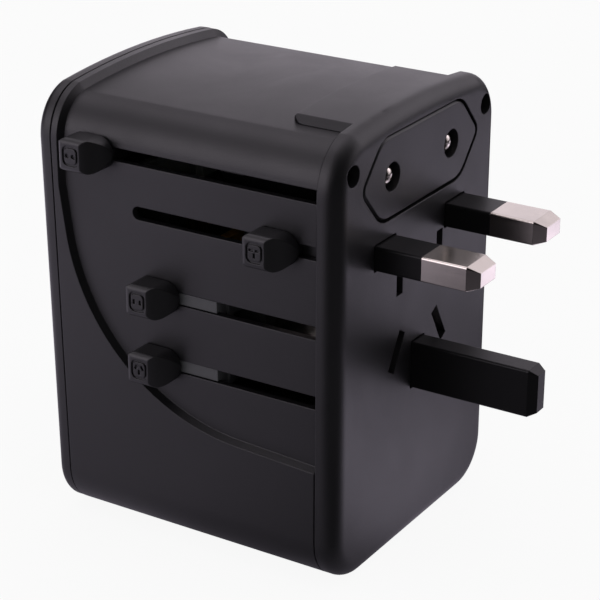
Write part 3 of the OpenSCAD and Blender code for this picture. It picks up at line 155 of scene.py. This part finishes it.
# %% [markdown]
# ## Shared effects
# Moulded plastic copies the spark-eroded skin of its mould: a fine pebble, a fifth of a millimetre across.
# Handling leaves broad, faint smudges, and every real corner has a small radius that catches the light.
# Where the crown of the top runs into the rounded corners, a wider blend hides the very shallow crease.
# Drawn metal has fine lines along its length. Each effect is one node group that many finishes share.

# %% Moulded grain
VECTOR, FLOAT = "NodeSocketVector", "NodeSocketFloat"

grain, g_in, g_out = group_named(
    "moulded_grain",
    [("Place", VECTOR, None), ("Pebbles", FLOAT, 5200.0)],
    [("Height", FLOAT), ("Tone", FLOAT)],
)
pebbles = add(grain, "ShaderNodeTexNoise", Detail=3.0, Roughness=0.62)
grain.links.new(g_in["Place"], pebbles.inputs["Vector"])
grain.links.new(g_in["Pebbles"], pebbles.inputs["Scale"])
broad = add(grain, "ShaderNodeTexNoise", Scale=140.0, Detail=4.0, Roughness=0.55)
grain.links.new(g_in["Place"], broad.inputs["Vector"])
grain.links.new(pebbles.outputs["Fac"], g_out["Height"])
grain.links.new(broad.outputs["Fac"], g_out["Tone"])

# %% Handling smudges
smudges, s_in, s_out = group_named(
    "smudges", [("Place", VECTOR, None), ("Patches", FLOAT, 60.0)], [("Mask", FLOAT)])
patches = add(smudges, "ShaderNodeTexNoise", Detail=5.0, Roughness=0.6, Distortion=0.8)
smudges.links.new(s_in["Place"], patches.inputs["Vector"])
smudges.links.new(s_in["Patches"], patches.inputs["Scale"])
smudges.links.new(ranged(smudges, patches.outputs["Fac"], 0.35, 0.7, 0.0, 1.0), s_out["Mask"])

# %% Rounded corners
corners, c_in, c_out = group_named("rounded_corners", [("Radius", FLOAT, 0.00015)], [("Normal", VECTOR)])
round_normal = add(corners, "ShaderNodeBevel", {"samples": 6})
corners.links.new(c_in["Radius"], round_normal.inputs["Radius"])
corners.links.new(round_normal.outputs["Normal"], c_out["Normal"])

# %% Blended creases
SHARP_BEND, SOFT_BEND = math.radians(7), math.radians(4.5)

creases, b_in, b_out = group_named(
    "blended_creases", [("Normal", VECTOR, None), ("Reach", FLOAT, 0.0012)], [("Normal", VECTOR)])
wide_normal = add(creases, "ShaderNodeBevel", {"samples": 8})
creases.links.new(b_in["Reach"], wide_normal.inputs["Radius"])
face = creases.nodes.new("ShaderNodeNewGeometry")
bend = add(creases, "ShaderNodeVectorMath", {"operation": "DOT_PRODUCT"})
creases.links.new(wide_normal.outputs["Normal"], bend.inputs[0])
creases.links.new(face.outputs["Normal"], bend.inputs[1])
gentle = ranged(creases, bend.outputs["Value"], math.cos(SHARP_BEND), math.cos(SOFT_BEND), 0.0, 1.0)
chosen = add(creases, "ShaderNodeMix", {"data_type": "VECTOR"})
creases.links.new(gentle, chosen.inputs[0])
creases.links.new(b_in["Normal"], chosen.inputs[4])
creases.links.new(wide_normal.outputs["Normal"], chosen.inputs[5])
creases.links.new(chosen.outputs[1], b_out["Normal"])

# %% Drawn lines
drawn, d_in, d_out = group_named(
    "drawn_lines",
    [("Place", VECTOR, None), ("Stretch", VECTOR, (60.0, 5200.0, 5200.0))],
    [("Lines", FLOAT)],
)
pull = add(drawn, "ShaderNodeVectorMath", {"operation": "MULTIPLY"})
drawn.links.new(d_in["Place"], pull.inputs[0])
drawn.links.new(d_in["Stretch"], pull.inputs[1])
lines = add(drawn, "ShaderNodeTexNoise", Scale=1.0, Detail=3.0, Roughness=0.55)
drawn.links.new(pull.outputs["Vector"], lines.inputs["Vector"])
drawn.links.new(lines.outputs["Fac"], d_out["Lines"])
print("shared effects:", [g.name for g in bpy.data.node_groups])


# %% [markdown]
# ## Plastics
# The case is black with a soft satin skin: most of what the eye sees is the room mirrored in it.
# So the colour is very dark, and the roughness and the pebble do the work.
# One function makes every plastic, with its own colour, shine and grain.

# %% Plastic finishes
def plastic(name, dark, pale, shine, pebble_depth, pebbles_per_m=5200.0,
            radius=0.00015, gloss=0.5, crease=0):
    made, tree, shader, place = finish_named(name)
    shader.inputs["Specular IOR Level"].default_value = gloss
    skin = add(tree, "ShaderNodeGroup", {"node_tree": grain}, Pebbles=pebbles_per_m)
    hands = add(tree, "ShaderNodeGroup", {"node_tree": smudges})
    corner = add(tree, "ShaderNodeGroup", {"node_tree": corners}, Radius=radius)
    for group in (skin, hands):
        tree.links.new(place, group.inputs["Place"])
    tree.links.new(blended(tree, skin.outputs["Tone"], dark, pale), shader.inputs["Base Color"])
    tree.links.new(ranged(tree, hands.outputs["Mask"], 0.0, 1.0, *shine), shader.inputs["Roughness"])
    normal = corner.outputs["Normal"]
    if crease:
        wide = add(tree, "ShaderNodeGroup", {"node_tree": creases}, Reach=crease)
        tree.links.new(normal, wide.inputs["Normal"])
        normal = wide.outputs["Normal"]
    bump = add(tree, "ShaderNodeBump", Strength=1.0, Distance=pebble_depth)
    tree.links.new(skin.outputs["Height"], bump.inputs["Height"])
    tree.links.new(normal, bump.inputs["Normal"])
    tree.links.new(bump.outputs["Normal"], shader.inputs["Normal"])
    return made


finishes = {
    "case_black": plastic("case_black", (0.0052, 0.0048, 0.0058), (0.0078, 0.0072, 0.0086),
                          (0.44, 0.38), 2.4e-5, radius=0.00025, crease=0.0012),
    "knob_black": plastic("knob_black", (0.0058, 0.0054, 0.0062), (0.0085, 0.008, 0.0095),
                          (0.42, 0.34), 1.6e-5, radius=0.00025),
    "slider_grey": plastic("slider_grey", (0.05, 0.05, 0.054), (0.075, 0.075, 0.08), (0.45, 0.38), 1.2e-5),
    "sleeve_black": plastic("sleeve_black", (0.003, 0.0029, 0.0032), (0.0045, 0.0043, 0.0048),
                            (0.4, 0.34), 1e-5, gloss=0.25),
    "inner_white": plastic("inner_white", (0.62, 0.61, 0.57), (0.7, 0.69, 0.65), (0.5, 0.42), 1.5e-5),
    "insert_black": plastic("insert_black", (0.012, 0.012, 0.013), (0.02, 0.02, 0.021), (0.4, 0.32), 1e-5),
    "fuse_amber": plastic("fuse_amber", (0.5, 0.24, 0.03), (0.62, 0.32, 0.05), (0.4, 0.3), 2e-5, 2600.0),
    "ferrite_dark": plastic("ferrite_dark", (0.02, 0.02, 0.022), (0.045, 0.045, 0.048),
                            (0.62, 0.5), 3e-5, 3600.0),
    "capacitor_can": plastic("capacitor_can", (0.012, 0.016, 0.05), (0.02, 0.026, 0.075),
                             (0.3, 0.24), 0.6e-5),
}
print("plastics:", len(finishes))


# %% [markdown]
# ## Metals
# The pins are nickel plated brass: warm, bright, and finely lined along their length.
# The lines vary both the roughness and a very shallow bump, so highlights streak as on a drawn bar.

# %% Metal finishes
def metal(name, dull, bright, shine, line_depth, stretch=(60.0, 5200.0, 5200.0), radius=0.00012):
    made, tree, shader, place = finish_named(name)
    shader.inputs["Metallic"].default_value = 1.0
    bar = add(tree, "ShaderNodeGroup", {"node_tree": drawn}, Stretch=stretch)
    hands = add(tree, "ShaderNodeGroup", {"node_tree": smudges}, Patches=160.0)
    corner = add(tree, "ShaderNodeGroup", {"node_tree": corners}, Radius=radius)
    for group in (bar, hands):
        tree.links.new(place, group.inputs["Place"])
    tree.links.new(blended(tree, hands.outputs["Mask"], bright, dull), shader.inputs["Base Color"])
    tree.links.new(ranged(tree, bar.outputs["Lines"], 0.3, 0.7, *shine), shader.inputs["Roughness"])
    bump = add(tree, "ShaderNodeBump", Strength=1.0, Distance=line_depth)
    tree.links.new(bar.outputs["Lines"], bump.inputs["Height"])
    tree.links.new(corner.outputs["Normal"], bump.inputs["Normal"])
    tree.links.new(bump.outputs["Normal"], shader.inputs["Normal"])
    return made


ALONG_Z = (4200.0, 4200.0, 80.0)
finishes |= {
    "pin_nickel": metal("pin_nickel", (0.57, 0.53, 0.48), (0.65, 0.6, 0.54), (0.15, 0.22), 1e-6),
    "screw_steel": metal("screw_steel", (0.03, 0.03, 0.032), (0.05, 0.05, 0.052), (0.35, 0.5), 4e-6),
    "contact_brass": metal("contact_brass", (0.45, 0.3, 0.12), (0.6, 0.43, 0.2),
                           (0.22, 0.36), 3e-6, ALONG_Z, 0.00003),
    "spring_steel": metal("spring_steel", (0.5, 0.5, 0.52), (0.6, 0.6, 0.62),
                          (0.22, 0.34), 2e-6, ALONG_Z, 0.00003),
    "port_steel": metal("port_steel", (0.5, 0.5, 0.51), (0.62, 0.62, 0.63),
                        (0.24, 0.36), 3e-6, ALONG_Z, 0.00005),
}
print("plastics and metals:", len(finishes))


# %% [markdown]
# ## The charger inside has finishes too.
# A cut-away shows the charger, so its parts have finishes too.
# The board has a green mask over copper tracks, the winding is wrapped in yellow tape,
# and the choke is wound with copper wire.
# A Wave texture draws the tracks, the tape laps and the wire turns.

# %% Board, tape and wire finishes
LAP_EDGE = (0.35, 0.65)


def banded(name, low, high, axis, bands_per_m, shine, metallic, depth):
    made, tree, shader, place = finish_named(name)
    shader.inputs["Metallic"].default_value = metallic
    laps = add(tree, "ShaderNodeTexWave", {"wave_profile": "SIN", "bands_direction": axis},
               Scale=bands_per_m, Distortion=0.6, Detail=1.0)
    hands = add(tree, "ShaderNodeGroup", {"node_tree": smudges}, Patches=200.0)
    tree.links.new(place, laps.inputs["Vector"])
    tree.links.new(place, hands.inputs["Place"])
    mask = ranged(tree, laps.outputs["Fac"], *LAP_EDGE, 0.0, 1.0)
    tree.links.new(blended(tree, mask, low, high), shader.inputs["Base Color"])
    tree.links.new(ranged(tree, hands.outputs["Mask"], 0.0, 1.0, *shine), shader.inputs["Roughness"])
    bump = add(tree, "ShaderNodeBump", Strength=1.0, Distance=depth)
    tree.links.new(mask, bump.inputs["Height"])
    tree.links.new(bump.outputs["Normal"], shader.inputs["Normal"])
    return made


finishes |= {
    "board_green": banded("board_green", (0.008, 0.07, 0.03), (0.012, 0.11, 0.045),
                          "X", 150.0, (0.36, 0.26), 0.0, 1e-5),
    "winding_tape": banded("winding_tape", (0.62, 0.42, 0.03), (0.75, 0.55, 0.06),
                           "Z", 120.0, (0.34, 0.22), 0.0, 3e-5),
    "choke_copper": banded("choke_copper", (0.35, 0.12, 0.04), (0.7, 0.3, 0.12),
                           "X", 420.0, (0.3, 0.2), 1.0, 6e-5),
}

# %% Give every solid its finish
slot_of = {part["node"]: part["material_slot"] for part in frame["record"]["subparts"]}
for name, solid in solids.items():
    solid.data.materials.clear()
    solid.data.materials.append(finishes[slot_of[name]])
print("dressed solids:", len(solids))

# %% [markdown]
# ## Metal leaves in the ports
# Each port has a tongue with thin gilded leaves on it. On the real thing they are pressed strips of sheet.
# Each leaf starts as a cube, is scaled to a strip, and its long edges are bevelled.
# All the leaves of one kind of port are one mesh, because they never move apart.

# %% Port leaves
PORT_PITCH = 9.5 * MM
LEAF_PROUD = 0.04 * MM
LEAF_LENGTH = 3.2 * MM
LEAF_MIDDLE = 2.2 * MM


def leaf(mesh, middle, size):
    strip = Matrix.Translation(middle) @ Matrix.Diagonal((*size, 1))
    made = bmesh.ops.create_cube(mesh, size=1.0, matrix=strip)
    upright = [e for e in {e for v in made["verts"] for e in v.link_edges}
               if abs((e.verts[0].co - e.verts[1].co).z) > 0.9 * size[2]]
    bmesh.ops.bevel(mesh, geom=upright, offset=min(size[:2]) * 0.3, offset_type="OFFSET", affect="EDGES",
                    segments=2, profile=0.5, material=-1)


def port_leaves(name, node, places, count, pitch, width, faces, thickness, shift):
    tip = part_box(node)[0].z
    mesh = bmesh.new()
    for y in places:
        for face in faces:
            for i in range(count):
                x = (i - (count - 1) / 2) * pitch
                out = y + shift + face * (thickness / 2 + LEAF_PROUD / 2)
                leaf(mesh, Vector((x, out, tip + LEAF_MIDDLE)), (width, LEAF_PROUD, LEAF_LENGTH))
    data = bpy.data.meshes.new(name)
    mesh.to_mesh(data)
    mesh.free()
    piece = bpy.data.objects.new(name, data)
    bpy.context.scene.collection.objects.link(piece)
    data.materials.append(finishes["contact_brass"])
    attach(piece, "housing")
    print(name, len(data.polygons), "faces")


port_leaves("reversible_port_leaves", "usb_c_inserts", (-1.5 * PORT_PITCH, -0.5 * PORT_PITCH),
            10, 0.5 * MM, 0.26 * MM, (-1, 1), 0.7 * MM, 0)
port_leaves("flat_port_leaves", "usb_a_inserts", (0.5 * PORT_PITCH, 1.5 * PORT_PITCH),
            4, 2.2 * MM, 1.1 * MM, (-1,), 1.84 * MM, 0.92 * MM)

# %% [markdown]
# ## Springs of the safety shutter
# Two small coil springs lift the shutter that closes the socket. They are wound from round steel wire.
# A ring of points spun round an axis, with a small rise at each step, winds the wire as a machine does.
# A spring gets shorter when the shutter goes down.

# %% Shutter springs
SPRING_TURNS, STEPS_PER_TURN, WIRE_SIDES = 9, 24, 10
WIRE = 0.5 * MM
spring_low, spring_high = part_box("shutter_springs")
coil_reach = (spring_high.x - spring_low.x) / 2
coil_x = (spring_high.x + spring_low.x) / 2
coil_length = spring_high.z - spring_low.z
coil_steps = SPRING_TURNS * STEPS_PER_TURN


def coil(mesh, y):
    middle = Vector((coil_x, y, spring_low.z + WIRE / 2))
    outward = Vector((coil_reach - WIRE / 2, 0, 0))
    start = Matrix.Translation(middle + outward) @ Matrix.Rotation(math.pi / 2, 4, "X")
    ring = bmesh.ops.create_circle(mesh, segments=WIRE_SIDES, radius=WIRE / 2, matrix=start)["verts"]
    edges = list({edge for vert in ring for edge in vert.link_edges})
    rise = Vector((0, 0, (coil_length - WIRE) / coil_steps))
    bmesh.ops.spin(mesh, geom=ring + edges, cent=middle, axis=(0, 0, 1), dvec=rise,
                   angle=2 * math.pi * SPRING_TURNS, steps=coil_steps)


coils = bmesh.new()
for y in (spring_low.y + coil_reach, spring_high.y - coil_reach):
    coil(coils, y)
bmesh.ops.holes_fill(coils, edges=[edge for edge in coils.edges if edge.is_boundary], sides=0)
bmesh.ops.recalc_face_normals(coils, faces=coils.faces)
for polygon in coils.faces:
    polygon.smooth = len(polygon.verts) == 4
coil_data = bpy.data.meshes.new("wound_springs")
coils.to_mesh(coil_data)
coils.free()
springs = bpy.data.objects.new("wound_springs", coil_data)
bpy.context.scene.collection.objects.link(springs)
coil_data.materials.append(finishes["spring_steel"])
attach(springs, "housing")
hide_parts("shutter_springs")
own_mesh(springs)
print("springs", len(coil_data.polygons), "faces,", round(coil_length / MM, 1), "mm long")

# %% [markdown]
# ## The studio
# The adapter stands on a white sweep in a white tent. Black satin shows mostly what it mirrors,
# so the tent has lit panels behind, overhead and on the left, and the side towards the lens is left dim.
# The dim side is what draws the dark lines down the front corner and round the noses of the knobs.

# %% Floor
FLOOR_REACH, FLOOR_GAP = 1.5, 0.1 * MM
floor_mesh = bmesh.new()
floor_place = Matrix.Translation((0, 0, cad_low.z - FLOOR_GAP))
bmesh.ops.create_grid(floor_mesh, x_segments=1, y_segments=1, size=FLOOR_REACH, matrix=floor_place)
floor_data = bpy.data.meshes.new("sweep")
floor_mesh.to_mesh(floor_data)
floor_mesh.free()
sweep = bpy.data.objects.new("sweep", floor_data)
bpy.context.scene.collection.objects.link(sweep)
print("sweep:", 2 * FLOOR_REACH, "m wide")

# %% [markdown]
# The sweep is one sheet of paper with three looks. To the lens it is white with a faint shadow.
# To other light it is plain matt paper. In mirrors it shows painted light, a glow set by place on the
# sheet: bright on the left, painted pools of light at its foot and behind on the right, and nearly dark at
# the front right, painted shade for the tent's shaded side.

# %% Floor finish
def summed(tree, values):
    total = values[0]
    for value in values[1:]:
        both = add(tree, "ShaderNodeMath", {"operation": "ADD"})
        tree.links.new(total, both.inputs[0])
        tree.links.new(value, both.inputs[1])
        total = both.outputs[0]
    return total


def shaded(tree, share, first, second):
    mix = tree.nodes.new("ShaderNodeMixShader")
    tree.links.new(share, mix.inputs[0])
    tree.links.new(first, mix.inputs[1])
    tree.links.new(second, mix.inputs[2])
    return mix.outputs[0]


# Painted light: a round pool of glow on the sweep, strongest at its middle and seen only in mirrors.
def painted_light_pool(tree, spot, middle, reach, strength):
    away = add(tree, "ShaderNodeVectorMath", {"operation": "DISTANCE"})
    away.inputs[1].default_value = (*middle, 0)
    tree.links.new(spot, away.inputs[0])
    return ranged(tree, away.outputs["Value"], reach, 0.0, 0.0, strength)


PAINTED_LIGHT_POOLS = {
    "before the foot": ((-0.005, -0.05), 0.05, 0.4),
    "beside the foot": ((0.036, 0.0), 0.032, 0.5),
    "close behind": ((0.06, 0.03), 0.05, 1.25),
    "behind": ((0.10, 0.12), 0.07, 2.0),
    "far behind": ((0.14, 0.24), 0.10, 2.0),
    "far right": ((0.25, 0.12), 0.10, 0.4),
    "front right": ((0.12, -0.08), 0.09, 0.15),
}
MIRROR_TINT = (1, 0.91, 1.1, 1)
WHITE_TO_LENS = 0.92
paper = bpy.data.materials.new("white_sweep")
paper.use_nodes = True
sheet = paper.node_tree
sheet.nodes.clear()
spot = sheet.nodes.new("ShaderNodeTexCoord").outputs["Object"]
axes = sheet.nodes.new("ShaderNodeSeparateXYZ")
sheet.links.new(spot, axes.inputs[0])
# Painted light for mirrors: the sweep glows brighter towards the left, and the painted pools of light are
# added on top.
left = ranged(sheet, axes.outputs["X"], 0.0, -0.085, 0.02, 0.86)
pools = [painted_light_pool(sheet, spot, *pool) for pool in PAINTED_LIGHT_POOLS.values()]
mirrored = add(sheet, "ShaderNodeEmission", Color=MIRROR_TINT)
sheet.links.new(summed(sheet, [left] + pools), mirrored.inputs["Strength"])
matt = add(sheet, "ShaderNodeBsdfDiffuse", Color=(0.8, 0.8, 0.8, 1))
glow = add(sheet, "ShaderNodeEmission", Color=(1, 1, 1, 1), Strength=1.0)
path = sheet.nodes.new("ShaderNodeLightPath")
look = shaded(sheet, path.outputs["Is Glossy Ray"], matt.outputs[0], mirrored.outputs[0])
seen_white = ranged(sheet, path.outputs["Is Camera Ray"], 0.0, 1.0, 0.0, WHITE_TO_LENS)
look = shaded(sheet, seen_white, look, glow.outputs[0])
out = sheet.nodes.new("ShaderNodeOutputMaterial")
sheet.links.new(look, out.inputs["Surface"])
floor_data.materials.append(paper)
print("sweep at", round(floor_place.translation.z / MM, 2), "mm, pools of light:", len(PAINTED_LIGHT_POOLS))

# %% [markdown]
# The tent's lit panels are round patches that fade towards their rims, aimed by compass angle and height.
# The dim side is round the lens. The lens itself and plain light see the tent as it is: white and even.

# %% World
PANEL_RIM, PANEL_HEART = math.cos(math.radians(30)), math.cos(math.radians(6))
PANELS = {
    "low behind left": (122, 9, 1.2),
    "high left": (148, 58, 0.9),
    "over left": (190, 62, 1.0),
    "left": (236, 28, 1.45),
    "low left": (240, 7, 1.7),
    "behind": (88, 38, 0.7),
    "behind right": (63, 30, 1.17),
    "low behind right": (50, 9, 1.06),
    "overhead": (60, 75, 0.7),
}


def lit_panel(tree, sight, compass, height, strength):
    compass, height = math.radians(compass), math.radians(height)
    flat = math.cos(height)
    aim = add(tree, "ShaderNodeVectorMath", {"operation": "DOT_PRODUCT"})
    aim.inputs[1].default_value = (math.cos(compass) * flat, math.sin(compass) * flat, math.sin(height))
    tree.links.new(sight, aim.inputs[0])
    return ranged(tree, aim.outputs["Value"], PANEL_RIM, PANEL_HEART, 0.0, strength)


PLAIN_LIGHT = 0.55
PANEL_WHITE, PANEL_TINT = (1, 1, 1), (1, 0.92, 1.02)
world = bpy.data.worlds.new("white_tent")
bpy.context.scene.world = world
world.use_nodes = True
room = world.node_tree
room.nodes.clear()
sight = room.nodes.new("ShaderNodeTexCoord").outputs["Generated"]
panels = summed(room, [lit_panel(room, sight, *panel) for panel in PANELS.values()])
path = room.nodes.new("ShaderNodeLightPath")
direct = summed(room, [path.outputs["Is Camera Ray"], path.outputs["Is Transmission Ray"]])
plain = ranged(room, direct, 0.0, 1.0, PLAIN_LIGHT, 1.0)
strength = add(room, "ShaderNodeMix", {"data_type": "FLOAT"})
room.links.new(path.outputs["Is Glossy Ray"], strength.inputs[0])
room.links.new(plain, strength.inputs[2])
room.links.new(panels, strength.inputs[3])
tent = room.nodes.new("ShaderNodeBackground")
colour = blended(room, path.outputs["Is Glossy Ray"], PANEL_WHITE, PANEL_TINT)
room.links.new(colour, tent.inputs["Color"])
room.links.new(strength.outputs[0], tent.inputs["Strength"])
sky = room.nodes.new("ShaderNodeOutputWorld")
room.links.new(tent.outputs[0], sky.inputs["Surface"])
print("tent panels:", len(PANELS))

# %% [markdown]
# Two soft boxes, behind and overhead, give the soft shadow on the sweep and light the matt surfaces.
# They are kept out of mirrors, because the tent's panels already stand for them there.

# %% Lamps
def softbox(name, place, aim, size, radiance):
    lamp = bpy.data.lights.new(name, "AREA")
    lamp.shape, lamp.size, lamp.size_y = "RECTANGLE", size[0], size[1]
    lamp.energy = radiance * math.pi * size[0] * size[1]
    box = bpy.data.objects.new(name, lamp)
    box.location = place
    box.rotation_euler = (Vector(place) - Vector(aim)).to_track_quat("Z", "Y").to_euler()
    bpy.context.scene.collection.objects.link(box)
    box.visible_glossy = False


MIDDLE = (0, 0, 0.04)
softbox("box_behind", (-0.45, 0.75, 0.55), MIDDLE, (0.7, 0.5), 0.6)
softbox("box_above", (0.1, 0.0, 0.9), MIDDLE, (0.6, 0.6), 1.0)
print("lamps:", [lamp.name for lamp in bpy.data.lights])

# %% [markdown]
# The view keeps plain colours.

# %% View
bpy.context.scene.view_settings.view_transform = "Standard"
